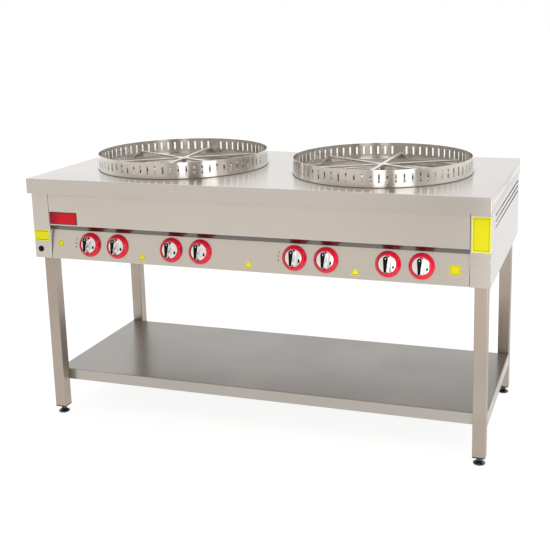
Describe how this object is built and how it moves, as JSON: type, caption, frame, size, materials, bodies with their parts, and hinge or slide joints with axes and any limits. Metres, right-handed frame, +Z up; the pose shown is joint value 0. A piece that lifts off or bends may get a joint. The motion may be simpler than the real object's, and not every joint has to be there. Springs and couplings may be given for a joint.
{
  "type": "commercial gas stove",
  "caption": "Floor-standing stainless gas stove with round tray stations, slotted wind guards, rotating tray carriers over ring burners, taps with red bezels and a lower shelf.",
  "frame": {"origin": "on the floor, under the centre of the table top", "axes": "+X across the front from left to right, the taps face -Y, +Y to the back, +Z up"},
  "size_m": [1.536, 0.7595, 0.905],
  "materials": {
    "top_steel": "stainless sheet, bright, fine brushed and near polished",
    "body_steel": "stainless sheet, satin brushed along its length",
    "leg_steel": "stainless square tube, brushed along its length",
    "shelf_steel": "stainless sheet, soft brushed, blurred reflections",
    "guard_steel": "stainless strip, bright with clean cut edges",
    "pan_steel": "stainless sheet, heat-dulled inside",
    "carrier_steel": "stainless bar, satin with bright edges",
    "burner_iron": "grey cast iron, fine sand-cast skin",
    "frame_steel": "steel tube and bar, mill finish",
    "screw_steel": "stainless screw heads",
    "knob_chrome": "bright chrome-plated knob",
    "red_plastic": "glossy red ring",
    "valve_brass": "turned brass",
    "gas_pipe_steel": "zinc-coated steel pipe",
    "tube_aluminium": "soft drawn aluminium tube",
    "black_plastic": "moulded black plastic plug",
    "foot_black": "black moulded levelling foot",
    "igniter_black": "moulded black push button and barrel"
  },
  "bodies": {
    "stove": {"top_sheet": "top_steel", "fascia": "body_steel", "control_panel": "body_steel", "back_panel": "body_steel", "corner_panel_left": "body_steel", "corner_panel_right": "body_steel", "side_panel_left": "body_steel", "side_panel_right": "body_steel", "back_panel_screws": "screw_steel", "upper_frame": "frame_steel", "leg_plugs": "black_plastic", "shelf": "shelf_steel", "shelf_stiffener": "shelf_steel", "wind_guard_left": "guard_steel", "wind_guard_right": "guard_steel", "pan_left": "pan_steel", "pan_right": "pan_steel", "pivot_posts": "carrier_steel", "burner_supports": "frame_steel", "bezels": "red_plastic", "gas_valves": "valve_brass", "gas_manifold": "gas_pipe_steel", "gas_tubes": "tube_aluminium", "injectors": "valve_brass", "igniter_body": "igniter_black", "leg_front_left": "leg_steel", "leg_front_right": "leg_steel", "leg_rear_left": "leg_steel", "leg_rear_right": "leg_steel", "ring_burner_left_1": "burner_iron", "ring_burner_left_2": "burner_iron", "ring_burner_left_3": "burner_iron", "ring_burner_left_4": "burner_iron", "ring_burner_right_1": "burner_iron", "ring_burner_right_2": "burner_iron", "ring_burner_right_3": "burner_iron", "ring_burner_right_4": "burner_iron"},
    "carrier_left": {"tray_carrier_left": "carrier_steel"},
    "carrier_right": {"tray_carrier_right": "carrier_steel"},
    "spindle_1": {"valve_spindle_1": "valve_brass"},
    "knob_1": {"knob_1": "knob_chrome"},
    "spindle_2": {"valve_spindle_2": "valve_brass"},
    "knob_2": {"knob_2": "knob_chrome"},
    "spindle_3": {"valve_spindle_3": "valve_brass"},
    "knob_3": {"knob_3": "knob_chrome"},
    "spindle_4": {"valve_spindle_4": "valve_brass"},
    "knob_4": {"knob_4": "knob_chrome"},
    "spindle_5": {"valve_spindle_5": "valve_brass"},
    "knob_5": {"knob_5": "knob_chrome"},
    "spindle_6": {"valve_spindle_6": "valve_brass"},
    "knob_6": {"knob_6": "knob_chrome"},
    "spindle_7": {"valve_spindle_7": "valve_brass"},
    "knob_7": {"knob_7": "knob_chrome"},
    "spindle_8": {"valve_spindle_8": "valve_brass"},
    "knob_8": {"knob_8": "knob_chrome"},
    "foot_front_left": {"levelling_foot_front_left": "foot_black"},
    "foot_front_right": {"levelling_foot_front_right": "foot_black"},
    "foot_rear_left": {"levelling_foot_rear_left": "foot_black"},
    "foot_rear_right": {"levelling_foot_rear_right": "foot_black"},
    "igniter_button": {"igniter_button": "igniter_black"}
  },
  "joints": [
    {"name": "carrier_spin_left", "type": "hinge", "parent": "stove", "child": "carrier_left", "pos_m": [-0.3595, -0.005, 0.872], "axis": [0, 0, 1], "continuous": true},
    {"name": "carrier_spin_right", "type": "hinge", "parent": "stove", "child": "carrier_right", "pos_m": [0.3595, -0.005, 0.872], "axis": [0, 0, 1], "continuous": true},
    {"name": "tap_turn_1", "type": "hinge", "parent": "stove", "child": "spindle_1", "pos_m": [-0.5595, -0.33419, 0.62739], "axis": [0, -0.979, 0.204], "range_deg": [0, 180]},
    {"name": "knob_press_1", "type": "slide", "parent": "spindle_1", "child": "knob_1", "axis": [0, 0.979, -0.204], "range_m": [0, 0.003], "stiffness_N_per_m": 600, "springref_m": -0.002},
    {"name": "tap_turn_2", "type": "hinge", "parent": "stove", "child": "spindle_2", "pos_m": [-0.457, -0.33419, 0.62739], "axis": [0, -0.979, 0.204], "range_deg": [0, 180]},
    {"name": "knob_press_2", "type": "slide", "parent": "spindle_2", "child": "knob_2", "axis": [0, 0.979, -0.204], "range_m": [0, 0.003], "stiffness_N_per_m": 600, "springref_m": -0.002},
    {"name": "tap_turn_3", "type": "hinge", "parent": "stove", "child": "spindle_3", "pos_m": [-0.262, -0.33419, 0.62739], "axis": [0, -0.979, 0.204], "range_deg": [0, 180]},
    {"name": "knob_press_3", "type": "slide", "parent": "spindle_3", "child": "knob_3", "axis": [0, 0.979, -0.204], "range_m": [0, 0.003], "stiffness_N_per_m": 600, "springref_m": -0.002},
    {"name": "tap_turn_4", "type": "hinge", "parent": "stove", "child": "spindle_4", "pos_m": [-0.1595, -0.33419, 0.62739], "axis": [0, -0.979, 0.204], "range_deg": [0, 180]},
    {"name": "knob_press_4", "type": "slide", "parent": "spindle_4", "child": "knob_4", "axis": [0, 0.979, -0.204], "range_m": [0, 0.003], "stiffness_N_per_m": 600, "springref_m": -0.002},
    {"name": "tap_turn_5", "type": "hinge", "parent": "stove", "child": "spindle_5", "pos_m": [0.1595, -0.33419, 0.62739], "axis": [0, -0.979, 0.204], "range_deg": [0, 180]},
    {"name": "knob_press_5", "type": "slide", "parent": "spindle_5", "child": "knob_5", "axis": [0, 0.979, -0.204], "range_m": [0, 0.003], "stiffness_N_per_m": 600, "springref_m": -0.002},
    {"name": "tap_turn_6", "type": "hinge", "parent": "stove", "child": "spindle_6", "pos_m": [0.262, -0.33419, 0.62739], "axis": [0, -0.979, 0.204], "range_deg": [0, 180]},
    {"name": "knob_press_6", "type": "slide", "parent": "spindle_6", "child": "knob_6", "axis": [0, 0.979, -0.204], "range_m": [0, 0.003], "stiffness_N_per_m": 600, "springref_m": -0.002},
    {"name": "tap_turn_7", "type": "hinge", "parent": "stove", "child": "spindle_7", "pos_m": [0.457, -0.33419, 0.62739], "axis": [0, -0.979, 0.204], "range_deg": [0, 180]},
    {"name": "knob_press_7", "type": "slide", "parent": "spindle_7", "child": "knob_7", "axis": [0, 0.979, -0.204], "range_m": [0, 0.003], "stiffness_N_per_m": 600, "springref_m": -0.002},
    {"name": "tap_turn_8", "type": "hinge", "parent": "stove", "child": "spindle_8", "pos_m": [0.5595, -0.33419, 0.62739], "axis": [0, -0.979, 0.204], "range_deg": [0, 180]},
    {"name": "knob_press_8", "type": "slide", "parent": "spindle_8", "child": "knob_8", "axis": [0, 0.979, -0.204], "range_m": [0, 0.003], "stiffness_N_per_m": 600, "springref_m": -0.002},
    {"name": "foot_level_front_left", "type": "slide", "parent": "stove", "child": "foot_front_left", "axis": [0, 0, 1], "range_m": [-0.015, 0.005]},
    {"name": "foot_level_front_right", "type": "slide", "parent": "stove", "child": "foot_front_right", "axis": [0, 0, 1], "range_m": [-0.015, 0.005]},
    {"name": "foot_level_rear_left", "type": "slide", "parent": "stove", "child": "foot_rear_left", "axis": [0, 0, 1], "range_m": [-0.015, 0.005]},
    {"name": "foot_level_rear_right", "type": "slide", "parent": "stove", "child": "foot_rear_right", "axis": [0, 0, 1], "range_m": [-0.015, 0.005]},
    {"name": "igniter_press", "type": "slide", "parent": "stove", "child": "igniter_button", "axis": [0, 1, 0], "range_m": [0, 0.005], "stiffness_N_per_m": 800, "springref_m": -0.002}
  ]
}
